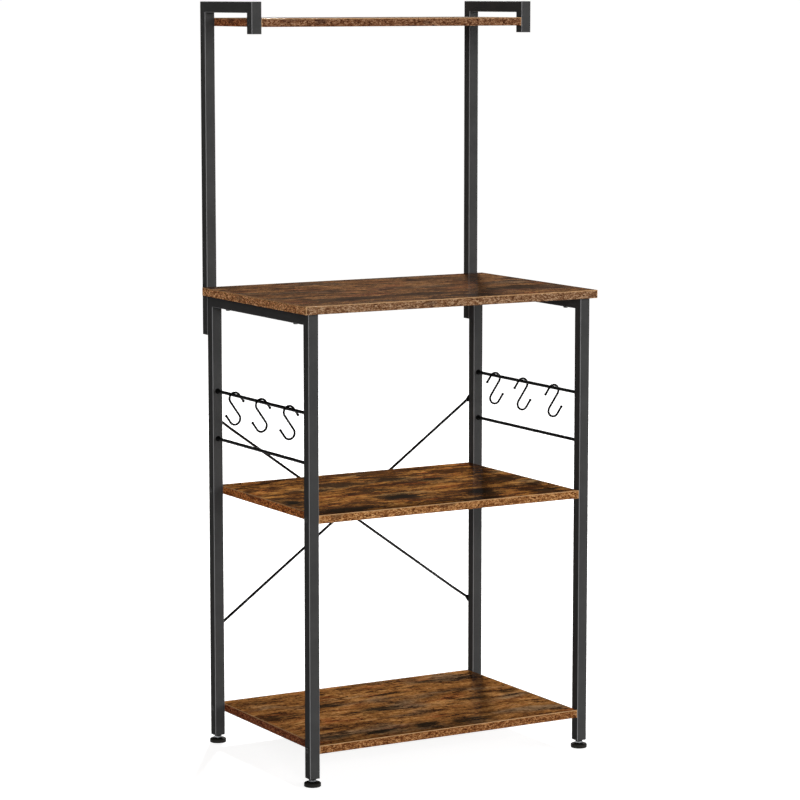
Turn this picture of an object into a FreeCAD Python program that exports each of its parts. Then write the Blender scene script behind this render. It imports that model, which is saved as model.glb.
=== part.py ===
import FreeCAD, Part
import math
import os
import re
import Sketcher
from FreeCAD import Placement, Rotation, Vector

# Bakers rack: two welded tube side frames carry a counter, two shelves and a bolted hutch with a top shelf.
# Crossed rods brace the back, S-hooks hang on rods at the sides, and the legs stand on levelling feet.
# X runs to the right, Y to the back, Z up. The origin is on the floor, in the middle of the footprint.

# Driving sizes in millimetres
SIZES = {
    # Boards
    "counter_width": 600, "counter_depth": 400, "counter_height": 850, "side_overhang": 10,
    "front_overhang": 10, "board_thick": 15, "board_arris": 0.8, "shelf_setback": 1,
    "middle_shelf_height": 483, "bottom_shelf_height": 73,
    # Square tubes
    "tube_side": 20, "tube_wall": 1.2, "tube_corner": 2, "leg_clear": 14.5,
    # Hutch
    "total_height": 1368, "upright_overlap": 73, "arm_length": 205, "drop_length": 57, "top_shelf_gap": 9.5,
    # Hook rods
    "rod_dia": 6, "rod_weld": 1.8, "upper_rod_height": 660, "lower_rod_height": 572,
    # Back braces
    "brace_dia": 5, "brace_top_height": 613, "brace_low_height": 210, "brace_gap": 0.6, "crank_run": 30,
    "tab_thick": 2, "tab_width": 12, "tab_run": 9, "tab_end": 9, "tab_taper": 8,
    # S-hooks: places along the rod are measured from the front of the legs
    "hook_wire": 4, "hook_bend": 10.75, "hook_shank": 30.8, "hook_end": 15,
    "hook_ball": 5.2, "hook_gap": 0.3,
    "left_hook_front_at": 91, "left_hook_middle_at": 197, "left_hook_rear_at": 301,
    "right_hook_front_at": 104, "right_hook_middle_at": 211, "right_hook_rear_at": 309,
    # Levelling feet and plugs
    "pad_dia": 30, "pad_height": 7, "pad_bevel": 1.2, "stud_dia": 8, "stud_length": 42, "stud_seat": 5,
    "hex_flats": 13, "hex_height": 5.5, "plug_height": 25,
    # Fasteners
    "bolt_dia": 6, "bolt_bite": 20, "head_dia": 12, "head_height": 2.5, "head_bevel": 1,
    "flat_head_dia": 11, "flat_head_height": 0.9, "flat_head_bevel": 0.4, "socket_flats": 4, "socket_depth": 1.6,
    "insert_dia": 9, "insert_length": 25, "nut_dia": 9, "nut_length": 12,
    "screw_dia": 4.2, "screw_bite": 11, "screw_head_dia": 9, "screw_head_height": 3, "screw_inset": 65,
    "hutch_bolt_low": 14, "hutch_bolt_step": 27,
    # Clearances, on each side
    "slip_fit": 0.15, "bolt_fit": 0.2, "thread_fit": 0.3,
}

# Places and lengths that follow from the sizes
PLACES = {
    "leg_x": "counter_width / 2 - side_overhang - tube_side / 2",
    "frame_depth": "counter_depth - front_overhang",
    "overall_depth": "counter_depth + tube_side + head_height",
    "frame_front": "front_overhang - overall_depth / 2",
    "frame_rear": "frame_front + frame_depth",
    "front_leg_y": "frame_front + tube_side / 2",
    "rear_leg_y": "frame_rear - tube_side / 2",
    "upright_y": "frame_rear + tube_side / 2",
    "arm_front": "frame_rear + tube_side - arm_length",
    "drop_y": "arm_front + tube_side / 2",
    "counter_under": "counter_height - board_thick",
    "leg_length": "counter_under - leg_clear",
    "rail_z": "counter_under - tube_side / 2",
    "upright_foot": "counter_under - upright_overlap",
    "upright_length": "total_height - upright_foot",
    "drop_foot": "total_height - drop_length",
    "arm_z": "total_height - tube_side / 2",
    "top_shelf_under": "total_height - tube_side - top_shelf_gap - board_thick",
    "middle_shelf_under": "middle_shelf_height - board_thick",
    "bottom_shelf_under": "bottom_shelf_height - board_thick",
    "shelf_width": "2 * leg_x - tube_side",
    "shelf_depth": "frame_depth - 2 * shelf_setback",
    "top_shelf_depth": "arm_length - 2 * shelf_setback",
    "rod_length": "frame_depth - 2 * tube_side",
    "brace_rise": "brace_top_height - brace_low_height",
    "brace_half": "sqrt(4 * leg_x ^ 2 + brace_rise ^ 2) / 2",
    "brace_tilt": "atan(2 * leg_x / brace_rise)",
    "brace_mid": "(brace_top_height + brace_low_height) / 2",
    "hook_lean": "atan(2 * hook_bend / hook_shank)",
    "hook_reach": "sqrt(hook_shank ^ 2 / 4 + hook_bend ^ 2) + hook_bend - hook_wire / 2",
    "hook_z": "upper_rod_height + rod_dia / 2 + hook_gap - hook_reach",
    "bolt_hole": "bolt_dia + 2 * bolt_fit",
    "tube_inside": "tube_side - 2 * tube_wall",
}

doc = FreeCAD.newDocument("BakersRack")


def write_sheet(name, values, to_text):
    sheet = doc.addObject("Spreadsheet::Sheet", name)
    for row, (alias, value) in enumerate(values.items(), start=1):
        sheet.set(f"A{row}", alias)
        sheet.setAlias(f"B{row}", alias)
        sheet.set(f"B{row}", to_text(value))
    return sheet


def sheet_names(text):
    """Writes each size and place in an expression with the name of its sheet."""
    def full(match):
        word = match.group(0)
        return "Sizes." + word if word in SIZES else "Places." + word if word in PLACES else word
    return re.sub(r"[a-z]\w*", full, text)


sizes = write_sheet("Sizes", SIZES, str)
places = write_sheet("Places", PLACES, lambda text: "=" + sheet_names(text))
doc.recompute()


def value(text):
    result = places.evalExpression(sheet_names(text))
    return float(getattr(result, "Value", result))


def bind(item, path, text):
    item.setExpression(path, sheet_names(text))


# Sketches

def new_body(label, base, turn=Rotation()):
    """Body whose place is three expressions, turned by a fixed rotation."""
    body = doc.addObject("PartDesign::Body", label)
    body.Label = label
    body.Placement = Placement(Vector(), turn)
    for axis, text in zip("xyz", base):
        bind(body, f"Placement.Base.{axis}", text)
    return body


def origin_item(body, role):
    return next(item for item in body.Origin.OriginFeatures if item.Role == role)


def new_sketch(body, plane, lift="0"):
    sketch = body.newObject("Sketcher::SketchObject", "Sketch")
    sketch.AttachmentSupport = [(origin_item(body, plane), "")]
    sketch.MapMode = "FlatFace"
    bind(sketch, "AttachmentOffset.Base.z", lift)
    return sketch


def constrain(sketch, text, kind, *where):
    index = sketch.addConstraint(Sketcher.Constraint(kind, *where, value(text)))
    bind(sketch, f"Constraints[{index}]", text)


def place_point(sketch, geometry, end, across, along):
    constrain(sketch, across, "DistanceX", -1, 1, geometry, end)
    constrain(sketch, along, "DistanceY", -1, 1, geometry, end)


def draw_polygon(sketch, corners):
    points = [Vector(value(across), value(along), 0) for across, along in corners]
    first, count = sketch.GeometryCount, len(points)
    for i in range(count):
        sketch.addGeometry(Part.LineSegment(points[i], points[(i + 1) % count]))
    for i in range(count):
        sketch.addConstraint(Sketcher.Constraint("Coincident", first + i, 2, first + (i + 1) % count, 1))
    for i, (across, along) in enumerate(corners):
        place_point(sketch, first + i, 1, across, along)


def draw_rectangle(sketch, width, height):
    """Rectangle centred on the sketch origin."""
    corners = ((-1, -1), (1, -1), (1, 1), (-1, 1))
    draw_polygon(sketch, [(f"{x} * ({width}) / 2", f"{y} * ({height}) / 2") for x, y in corners])


def draw_circle(sketch, across, along, diameter):
    middle = Vector(value(across), value(along), 0)
    circle = sketch.addGeometry(Part.Circle(middle, Vector(0, 0, 1), value(diameter) / 2))
    place_point(sketch, circle, 3, across, along)
    constrain(sketch, diameter, "Diameter", circle)


def draw_hexagon(sketch, flats):
    """Regular hexagon centred on the sketch origin, with two sides across the sketch."""
    draw_polygon(sketch, [(f"({flats}) * {across} / sqrt(3)", f"({flats}) * {along}") for across, along in
                          ((-1, 0), (-0.5, -0.5), (0.5, -0.5), (1, 0), (0.5, 0.5), (-0.5, 0.5))])


# Features

def pad(body, sketch, length):
    feature = body.newObject("PartDesign::Pad", "Pad")
    feature.Profile = sketch
    bind(feature, "Length", length)
    return feature


def pocket(body, sketch, depth=None, both_ways=False, flipped=False):
    """Cut as deep as the expression says, or right through the body."""
    feature = body.newObject("PartDesign::Pocket", "Pocket")
    feature.Profile = sketch
    feature.SideType = "Symmetric" if both_ways else "One side"
    feature.Reversed = flipped
    if depth is None:
        feature.Type = "ThroughAll"
    else:
        bind(feature, "Length", depth)
    return feature


def revolve(body, sketch):
    feature = body.newObject("PartDesign::Revolution", "Revolution")
    feature.Profile = sketch
    feature.ReferenceAxis = (sketch, ["V_Axis"])
    feature.Angle = 360
    return feature


def fillet(body, base, radius, wanted):
    """Rounds the straight edges of a feature that the test picks by their direction and middle point."""
    doc.recompute()
    names = [f"Edge{i}" for i, edge in enumerate(base.Shape.Edges, start=1)
             if wanted(edge.tangentAt(edge.FirstParameter), edge.CenterOfMass)]
    feature = body.newObject("PartDesign::Fillet", "Fillet")
    feature.Base = (base, names)
    bind(feature, "Radius", radius)
    return feature


def along_z(direction):
    return abs(direction.z) > 0.99


# Square tubes stand along their own Z, from 0 to their length, with the section centred on the axis

LYING = Rotation(Vector(1, 0, 0), -90)  # own Z to the back, own Y downwards
OVERCUT = "tube_wall"


def cut_mitre(body, end, keeps, inward):
    """45 degree end cut: one side of the tube, at +Y or -Y, keeps its full length."""
    sketch = new_sketch(body, "YZ_Plane")
    far, near = f"{keeps} * (tube_side / 2 + {OVERCUT})", f"{-keeps} * (tube_side / 2 + {OVERCUT})"
    outer = f"{end} + {-inward} * {OVERCUT}"
    inner = f"{end} + {inward} * (tube_side + {OVERCUT})"
    draw_polygon(sketch, [(far, outer), (near, outer), (near, inner)])
    pocket(body, sketch, both_ways=True)


def tube(label, length, base, turn=Rotation(), top=0, foot=0,
         side_holes=(), face_holes=(), face_hole="bolt_hole", nut_holes=()):
    """Tube with a mitre where top or foot names the long side, and rows of holes at heights along it."""
    body = new_body(label, base, turn)
    section = new_sketch(body, "XY_Plane")
    draw_rectangle(section, "tube_side", "tube_side")
    draw_rectangle(section, "tube_inside", "tube_inside")
    blank = pad(body, section, length)
    middle = (value("tube_side") + value("tube_inside")) / 4

    def outer(direction, point):
        return along_z(direction) and abs(point.x) > middle
    rounded = fillet(body, blank, "tube_corner", outer)
    fillet(body, rounded, "tube_corner - tube_wall",
           lambda direction, point: along_z(direction) and max(abs(point.x), abs(point.y)) < middle)
    if top:
        cut_mitre(body, length, top, -1)
    if foot:
        cut_mitre(body, "0", foot, 1)
    for heights, plane, diameter, both_ways in ((side_holes, "YZ_Plane", "bolt_hole", True),
                                                (face_holes, "XZ_Plane", face_hole, True),
                                                (nut_holes, "XZ_Plane", "nut_dia + 2 * slip_fit", False)):
        if heights:
            holes = new_sketch(body, plane)
            for height in heights:
                draw_circle(holes, "0", height, diameter)
            pocket(body, holes, both_ways=both_ways)
    return body


SIDES = {"left": -1, "right": 1}
SHELF_UNDERS = ("middle_shelf_under", "bottom_shelf_under")
HUTCH_BOLTS = ("upright_foot + hutch_bolt_low", "upright_foot + hutch_bolt_low + hutch_bolt_step")
BRACE_BOLTS = ("brace_low_height", "brace_top_height")
MID_BOARD = "board_thick / 2"

for side, sign in SIDES.items():
    leg_x = f"{sign} * leg_x"
    shelf_bolts = [f"{under} + {MID_BOARD} - leg_clear" for under in SHELF_UNDERS]
    tube(f"{side}_front_leg", "leg_length", (leg_x, "front_leg_y", "leg_clear"), top=-1,
         side_holes=shelf_bolts)
    tube(f"{side}_rear_leg", "leg_length", (leg_x, "rear_leg_y", "leg_clear"), top=1,
         side_holes=shelf_bolts,
         nut_holes=[f"{height} - leg_clear" for height in HUTCH_BOLTS + BRACE_BOLTS])
    tube(f"{side}_top_rail", "frame_depth", (leg_x, "frame_front", "rail_z"), LYING, top=-1, foot=-1,
         face_holes=["screw_inset", "frame_depth - screw_inset"], face_hole="screw_dia + 2 * bolt_fit")
    top_bolt = f"top_shelf_under + {MID_BOARD}"
    tube(f"{side}_upright", "upright_length", (leg_x, "upright_y", "upright_foot"), top=1,
         side_holes=[f"{top_bolt} - upright_foot"],
         face_holes=[f"{height} - upright_foot" for height in HUTCH_BOLTS])
    tube(f"{side}_arm", "arm_length", (leg_x, "arm_front", "arm_z"), LYING, top=-1, foot=-1)
    tube(f"{side}_drop", "drop_length", (leg_x, "drop_y", "drop_foot"), top=-1,
         side_holes=[f"{top_bolt} - drop_foot"])


# Hook rods, with a weld bead at each end

def hook_rod(label, base):
    body = new_body(label, base, LYING)
    profile = new_sketch(body, "XZ_Plane")
    bead = "rod_dia / 2 + rod_weld"
    draw_polygon(profile, [("0", "0"), (bead, "0"), ("rod_dia / 2", "rod_weld"),
                           ("rod_dia / 2", "rod_length - rod_weld"), (bead, "rod_length"),
                           ("0", "rod_length")])
    revolve(body, profile)


for side, sign in SIDES.items():
    for level in ("upper", "lower"):
        hook_rod(f"{side}_{level}_hook_rod",
                 (f"{sign} * leg_x", "frame_front + tube_side", f"{level}_rod_height"))


# Boards lie centred on their own X and Y, with softened arrises

def board(label, width, depth, base, bolt_rows=(), screw_places=()):
    body = new_body(label, base)
    outline = new_sketch(body, "XY_Plane")
    draw_rectangle(outline, width, depth)
    blank = pad(body, outline, "board_thick")
    fillet(body, blank, "board_arris", lambda direction, point: True)
    if bolt_rows:
        ends = new_sketch(body, "YZ_Plane", f"({width}) / 2")
        for row in bolt_rows:
            draw_circle(ends, row, MID_BOARD, "insert_dia + 2 * slip_fit")
        bores = pocket(body, ends, "insert_length")
        other_end = body.newObject("PartDesign::Mirrored", "Mirrored")
        other_end.Originals = [bores]
        other_end.MirrorPlane = (origin_item(body, "YZ_Plane"), [""])
        body.Tip = other_end
    if screw_places:
        pilots = new_sketch(body, "XY_Plane")
        for across, along in screw_places:
            draw_circle(pilots, across, along, "screw_dia + 2 * bolt_fit")
        pocket(body, pilots, "screw_bite + bolt_fit", flipped=True)


COUNTER_Y = "frame_rear - counter_depth / 2"
SHELF_Y = "(frame_front + frame_rear) / 2"
TOP_SHELF_Y = "arm_front + arm_length / 2"
screw_rows = ("frame_front + screw_inset", "frame_rear - screw_inset")
board("counter_board", "counter_width", "counter_depth", ("0", COUNTER_Y, "counter_under"),
      screw_places=[(f"{sign} * leg_x", f"{row} - ({COUNTER_Y})")
                    for sign in SIDES.values() for row in screw_rows])
for name, under in zip(("middle", "bottom"), SHELF_UNDERS):
    board(f"{name}_shelf", "shelf_width", "shelf_depth", ("0", SHELF_Y, under),
          [f"front_leg_y - ({SHELF_Y})", f"rear_leg_y - ({SHELF_Y})"])
board("top_shelf", "shelf_width", "top_shelf_depth", ("0", TOP_SHELF_Y, "top_shelf_under"),
      [f"drop_y - ({TOP_SHELF_Y})", f"upright_y - ({TOP_SHELF_Y})"])


# Back braces: round rod along its own Z, with flattened ends that lie on the back of the rear legs

def brace(label, lean, crank):
    """Rod leaning to one side; the crank is how far its middle stands back to pass behind the other rod."""
    body = new_body(label, ("0", "frame_rear", "brace_mid"), Rotation(Vector(0, 1, 0), 0))
    bind(body, "Placement.Rotation.Angle", f"{lean} * brace_tilt")
    rod_end, rod_y = "brace_half - tab_run", "brace_dia / 2"
    knee = f"{rod_end} - tab_taper"
    outline = [("-1", rod_end, "0"), ("-1", knee, "0"), ("-1", f"{knee} - crank_run", crank),
               ("1", f"{knee} - crank_run", crank), ("1", knee, "0"), ("1", rod_end, "0")]
    path = new_sketch(body, "YZ_Plane")
    points = [(f"{rod_y} + {back}", f"{sign} * ({along})") for sign, along, back in outline]
    if crank == "0":
        points = [points[0], points[-1]]
    ends = [Vector(value(across), value(along), 0) for across, along in points]
    for i in range(len(ends) - 1):
        path.addGeometry(Part.LineSegment(ends[i], ends[i + 1]))
        place_point(path, i, 1, *points[i])
        if i:
            path.addConstraint(Sketcher.Constraint("Coincident", i - 1, 2, i, 1))
    place_point(path, len(ends) - 2, 2, *points[-1])
    section = new_sketch(body, "XY_Plane", f"-({rod_end})")
    draw_circle(section, "0", rod_y, "brace_dia")
    rod = body.newObject("PartDesign::AdditivePipe", "Rod")
    rod.Profile, rod.Spine, rod.Transition = section, (path, []), "Right corner"
    for sign in (-1, 1):
        # Round-ended tab, tapering into the rod
        tab = new_sketch(body, "XZ_Plane")
        end_middle = f"{sign} * (brace_half + tab_end - tab_width / 2)"
        root, neck = f"{sign} * ({knee})", f"{sign} * ({rod_end})"
        draw_polygon(tab, [("-brace_dia / 2", root), ("brace_dia / 2", root),
                           ("tab_width / 2", neck), ("tab_width / 2", end_middle),
                           ("-tab_width / 2", end_middle), ("-tab_width / 2", neck)])
        pad(body, tab, "tab_thick").Reversed = True
        nose = new_sketch(body, "XZ_Plane")
        draw_circle(nose, "0", end_middle, "tab_width")
        pad(body, nose, "tab_thick").Reversed = True
        eye = new_sketch(body, "XZ_Plane")
        draw_circle(eye, "0", f"{sign} * brace_half", "bolt_hole")
        pocket(body, eye, both_ways=True)
        slope = new_sketch(body, "YZ_Plane")
        past = f"{neck} + {sign} * tab_taper"
        draw_polygon(slope, [("tab_thick", neck), ("brace_dia", root),
                             ("brace_dia", past), ("tab_thick", past)])
        pocket(body, slope, both_ways=True)


brace("front_brace", 1, "0")
brace("rear_brace", -1, "(brace_dia + brace_gap)")


# S-hooks: half of the wire is bent and then turned over about the middle of the shank

def s_hook(label, base, sign):
    body = new_body(label, base, Rotation(Vector(0, 1, 0), 0))
    bind(body, "Placement.Rotation.Angle", f"{-sign} * hook_lean")
    bend, shank, end = value("hook_bend"), value("hook_shank") / 2, value("hook_end")
    path = new_sketch(body, "XZ_Plane")
    circle = Part.Circle(Vector(sign * bend, shank, 0), Vector(0, 0, 1), bend)
    shank_line = path.addGeometry(Part.LineSegment(Vector(0, 0, 0), Vector(0, shank, 0)))
    bend_arc = path.addGeometry(Part.ArcOfCircle(circle, 0, math.pi))
    end_line = path.addGeometry(Part.LineSegment(Vector(2 * sign * bend, shank, 0),
                                                 Vector(2 * sign * bend, shank - end, 0)))
    near, far = (2, 1) if sign > 0 else (1, 2)
    path.addConstraint([Sketcher.Constraint("Coincident", shank_line, 1, -1, 1),
                        Sketcher.Constraint("Vertical", shank_line),
                        Sketcher.Constraint("Tangent", shank_line, 2, bend_arc, near),
                        Sketcher.Constraint("Tangent", bend_arc, far, end_line, 1),
                        Sketcher.Constraint("Vertical", end_line)])
    constrain(path, "hook_shank / 2", "DistanceY", shank_line, 1, shank_line, 2)
    constrain(path, "hook_bend", "Radius", bend_arc)
    constrain(path, "hook_end", "DistanceY", end_line, 2, end_line, 1)
    section = new_sketch(body, "XY_Plane")
    draw_circle(section, "0", "0", "hook_wire")
    wire = body.newObject("PartDesign::AdditivePipe", "Wire")
    wire.Profile, wire.Spine = section, (path, [])
    ball = body.newObject("PartDesign::AdditiveSphere", "Ball")
    ball.AttachmentSupport, ball.MapMode = [(origin_item(body, "XZ_Plane"), "")], "FlatFace"
    bind(ball, "Radius", "hook_ball / 2")
    bind(ball, "AttachmentOffset.Base.x", f"{2 * sign} * hook_bend")
    bind(ball, "AttachmentOffset.Base.y", "hook_shank / 2 - hook_end")
    turned = body.newObject("PartDesign::PolarPattern", "OtherHalf")
    turned.Originals = [wire, ball]
    turned.Axis = (origin_item(body, "Y_Axis"), [""])
    turned.Angle, turned.Occurrences = 360, 2
    body.Tip = turned


for side, sign in SIDES.items():
    for position in ("front", "middle", "rear"):
        name = f"{side}_hook_{position}"
        s_hook(name, (f"{sign} * leg_x", f"frame_front + {name}_at", "hook_z"), -sign)


# Levelling feet: bevelled pad, stud with a hex collar, threaded plug in the leg

def foot_pad(label, base):
    body = new_body(label, base)
    profile = new_sketch(body, "XZ_Plane")
    rim, bore = "pad_dia / 2", "stud_dia / 2 + slip_fit"
    floor = "pad_height - stud_seat"
    draw_polygon(profile, [("0", "0"), (f"{rim} - pad_bevel / 2", "0"), (rim, "pad_bevel / 2"),
                           (rim, "pad_height - pad_bevel"), (f"{rim} - pad_bevel", "pad_height"),
                           (bore, "pad_height"), (bore, floor), ("0", floor)])
    revolve(body, profile)


def foot_stud(label, base):
    body = new_body(label, base)
    rod = new_sketch(body, "XY_Plane", "-stud_seat")
    draw_circle(rod, "0", "0", "stud_dia")
    pad(body, rod, "stud_length")
    collar = new_sketch(body, "XY_Plane")
    draw_hexagon(collar, "hex_flats")
    pad(body, collar, "hex_height")


def tube_plug(label, base, height, bore=None):
    body = new_body(label, base)
    outline = new_sketch(body, "XY_Plane")
    draw_rectangle(outline, "tube_inside - 2 * slip_fit", "tube_inside - 2 * slip_fit")
    blank = pad(body, outline, height)
    fillet(body, blank, "tube_corner", lambda direction, point: along_z(direction))
    if bore:
        hole = new_sketch(body, "XY_Plane")
        draw_circle(hole, "0", "0", bore)
        pocket(body, hole, both_ways=True)


for side, sign in SIDES.items():
    x = f"{sign} * leg_x"
    for end in ("front", "rear"):
        y = f"{end}_leg_y"
        foot_pad(f"{side}_{end}_foot_pad", (x, y, "0"))
        foot_stud(f"{side}_{end}_foot_stud", (x, y, "pad_height"))
        tube_plug(f"{side}_{end}_leg_plug", (x, y, "leg_clear"), "plug_height", "stud_dia + 2 * thread_fit")
    tube_plug(f"{side}_upright_plug", (x, "upright_y", "upright_foot"), "hutch_bolt_low - bolt_dia")
    tube_plug(f"{side}_drop_plug", (x, "drop_y", "drop_foot"), "top_shelf_under - drop_foot")


# Fasteners: one model of each, set in place as a group.
# They go in along their own Z, from the underside of the head.

def headed(label, shank_dia, shank_length, wide, high, bevel="head_bevel"):
    body = new_body(label, ("0", "0", "0"))
    profile = new_sketch(body, "XZ_Plane")
    shank, rim = f"{shank_dia} / 2", f"{wide} / 2"
    draw_polygon(profile, [("0", f"-{high}"), (f"{rim} - {bevel}", f"-{high}"),
                           (rim, f"{bevel} - {high}"), (rim, "0"), (shank, "0"),
                           (shank, shank_length), ("0", shank_length)])
    revolve(body, profile)
    socket = new_sketch(body, "XY_Plane", f"-{high}")
    draw_hexagon(socket, "socket_flats")
    pocket(body, socket, "socket_depth", flipped=True)
    return body


def sleeve(label, outer, bore, length):
    body = new_body(label, ("0", "0", "0"))
    ring = new_sketch(body, "XY_Plane")
    draw_circle(ring, "0", "0", outer)
    draw_circle(ring, "0", "0", bore)
    pad(body, ring, length)
    return body


def group(label, model, spots):
    """Copies of one fastener, each at its own place and turn, as one node."""
    links = []
    for base, turn in spots:
        link = doc.addObject("App::Link", f"{label}_item")
        link.setLink(model)
        link.Placement = Placement(Vector(), turn)
        for axis, text in zip("xyz", base):
            bind(link, f"Placement.Base.{axis}", text)
        links.append(link)
    compound = doc.addObject("Part::Compound", label)
    compound.Label = label
    compound.Links = links


FORWARD = Rotation(Vector(1, 0, 0), 90)
INWARD = {sign: Rotation(Vector(0, 1, 0), -90 * sign) for sign in SIDES.values()}
screw = headed("screw", "screw_dia", "tube_side + screw_bite", "screw_head_dia", "screw_head_height")
shelf_bolt = headed("shelf_bolt", "bolt_dia", "tube_side + bolt_bite",
                    "flat_head_dia", "flat_head_height", "flat_head_bevel")
hutch_bolt = headed("hutch_bolt", "bolt_dia", "tube_side + nut_length", "head_dia", "head_height")
brace_bolt = headed("brace_bolt", "bolt_dia", "tab_thick + nut_length", "head_dia", "head_height")
insert = sleeve("insert", "insert_dia", "bolt_hole", "insert_length")
rivet_nut = sleeve("rivet_nut", "nut_dia", "bolt_hole", "nut_length")

signs = tuple(SIDES.values())
group("counter_screws", screw, [((f"{sign} * leg_x", row, "counter_under - tube_side"), Rotation())
                                for sign in signs for row in screw_rows])
for name, rows in (("middle", ("front_leg_y", "rear_leg_y")), ("bottom", ("front_leg_y", "rear_leg_y")),
                   ("top", ("drop_y", "upright_y"))):
    level = f"{name}_shelf_under + {MID_BOARD}"
    group(f"{name}_shelf_bolts", shelf_bolt,
          [((f"{sign} * (leg_x + tube_side / 2)", row, level), INWARD[sign])
           for sign in signs for row in rows])
    group(f"{name}_shelf_inserts", insert,
          [((f"{sign} * shelf_width / 2", row, level), INWARD[sign]) for sign in signs for row in rows])
for name, model, heights, seat in (("hutch", hutch_bolt, HUTCH_BOLTS, "tube_side"),
                                   ("brace", brace_bolt, BRACE_BOLTS, "tab_thick")):
    spots = [(f"{sign} * leg_x", height) for sign in signs for height in heights]
    group(f"{name}_bolts", model, [((x, f"frame_rear + {seat}", z), FORWARD) for x, z in spots])
    group(f"{name}_rivet_nuts", rivet_nut, [((x, "frame_rear", z), FORWARD) for x, z in spots])


# Checks, then one file for each piece

doc.recompute()
models = {screw, shelf_bolt, hutch_bolt, brace_bolt, insert, rivet_nut}
for item in doc.Objects:
    if "Invalid" in item.State or "Error" in item.State:
        raise RuntimeError(f"{item.Label} did not compute: {item.State}")
    if item.TypeId == "PartDesign::Pocket" and item.Shape.Volume > item.BaseFeature.Shape.Volume - 1e-3:
        raise RuntimeError(f"{item.Name} in {item.getParent().Label} cuts nothing")

pieces = [item for item in doc.Objects
          if item.TypeId in ("PartDesign::Body", "Part::Compound") and item not in models]
for piece in pieces:
    if piece.Shape.isNull() or not piece.Shape.isValid() or not piece.Shape.Solids:
        raise RuntimeError(f"{piece.Label} has no sound shape")

os.makedirs("parts", exist_ok=True)
for piece in pieces:
    piece.Shape.exportStep(f"parts/{piece.Label}.step")
print(len(pieces), "pieces,", sum(len(piece.Shape.Solids) for piece in pieces), "solids")
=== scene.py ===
# %% [markdown]
# # A bakers rack for the kitchen
# Two side frames of black square tube carry a counter and two shelves of rustic board. A narrow
# hutch stands behind the counter with one more shelf, S-hooks hang on rods at the sides, and
# crossed rods brace the back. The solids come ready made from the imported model, each in its
# right place. This lesson dresses them: finishes first, then the small metalwork that solids
# leave plain, then the studio.

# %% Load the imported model
import math

import bmesh
import bpy
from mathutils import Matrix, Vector


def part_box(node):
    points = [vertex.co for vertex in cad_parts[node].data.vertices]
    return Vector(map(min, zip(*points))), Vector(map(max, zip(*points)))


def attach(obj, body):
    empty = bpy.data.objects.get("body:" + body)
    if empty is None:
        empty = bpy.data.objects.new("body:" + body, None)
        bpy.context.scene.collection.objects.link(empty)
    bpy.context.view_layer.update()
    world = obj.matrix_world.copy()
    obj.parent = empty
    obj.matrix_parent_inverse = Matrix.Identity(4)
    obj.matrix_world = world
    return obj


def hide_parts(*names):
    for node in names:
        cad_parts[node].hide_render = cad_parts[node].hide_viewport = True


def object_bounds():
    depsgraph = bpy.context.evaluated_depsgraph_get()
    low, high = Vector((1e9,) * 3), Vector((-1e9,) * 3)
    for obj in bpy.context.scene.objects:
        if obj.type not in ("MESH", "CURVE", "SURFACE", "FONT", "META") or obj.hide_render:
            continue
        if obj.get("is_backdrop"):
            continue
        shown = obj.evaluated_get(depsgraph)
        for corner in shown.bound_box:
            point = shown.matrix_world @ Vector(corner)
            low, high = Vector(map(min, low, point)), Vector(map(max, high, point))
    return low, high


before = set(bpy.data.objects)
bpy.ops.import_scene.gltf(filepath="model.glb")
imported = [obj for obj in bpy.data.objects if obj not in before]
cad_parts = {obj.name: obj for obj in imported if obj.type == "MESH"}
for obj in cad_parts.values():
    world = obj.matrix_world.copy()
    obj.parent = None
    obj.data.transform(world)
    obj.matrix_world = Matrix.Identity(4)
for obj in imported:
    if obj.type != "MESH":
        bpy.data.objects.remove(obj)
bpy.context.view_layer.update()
bpy.ops.object.select_all(action="DESELECT")

# %% [markdown]
# ## The camera
# A product picture of a tall rack is taken with a long lens from a few metres away, so that near
# and far edges stay almost parallel. The place, the turn and the lens below were worked out from
# the edges of the boards and tubes. The camera looks down a little instead of using lens shift,
# because then the rack stays in the middle of the frame from every other side too.

# %% Set up the camera
CAMERA_PLACE = (-2.746, -4.763, 1.382)
CAMERA_TURN = 30.04  # degrees to the right of straight back
CAMERA_DIP = 7.643   # degrees below the horizon
CAMERA_LENS = 136.3  # millimetres
CAMERA_REACH = 5000  # metres, past the rim of the floor

bpy.ops.object.camera_add(location=CAMERA_PLACE)
camera = bpy.context.object
camera.name = "camera"
camera.rotation_euler = (math.radians(90 - CAMERA_DIP), 0, -math.radians(CAMERA_TURN))
camera.data.lens, camera.data.clip_end = CAMERA_LENS, CAMERA_REACH
bpy.context.scene.camera = camera
print("camera", round(camera.location.length, 2), "m from the origin")

# %% [markdown]
# ## Shorthand for shader nodes
# A material is a small graph. Placing nodes in code takes three steps each time: make the node,
# set its options, and fill or link its sockets. One helper does all three, and a few more give
# the common nodes a short name, so that a finish below reads like its recipe.

# %% Helpers that place nodes
def add_node(tree, kind, sockets=None, **options):
    made = tree.nodes.new("ShaderNode" + kind)
    for name, value in options.items():
        setattr(made, name, value)
    for name, value in (sockets or {}).items():
        if isinstance(value, bpy.types.NodeSocket):
            tree.links.new(value, made.inputs[name])
        else:
            made.inputs[name].default_value = value
    return made


def calc(tree, operation, a, b=0.0):
    return add_node(tree, "Math", {0: a, 1: b}, operation=operation).outputs[0]


def vector_calc(tree, operation, a, b=(0.0, 0.0, 0.0)):
    made = add_node(tree, "VectorMath", {0: a, 1: b}, operation=operation)
    return made.outputs["Value" if operation == "LENGTH" else "Vector"]


def add_up(tree, *parts):
    """Sum of values, each times its share."""
    total = 0.0
    for value, share in parts:
        total = calc(tree, "ADD", calc(tree, "MULTIPLY", value, share), total)
    return total


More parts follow.
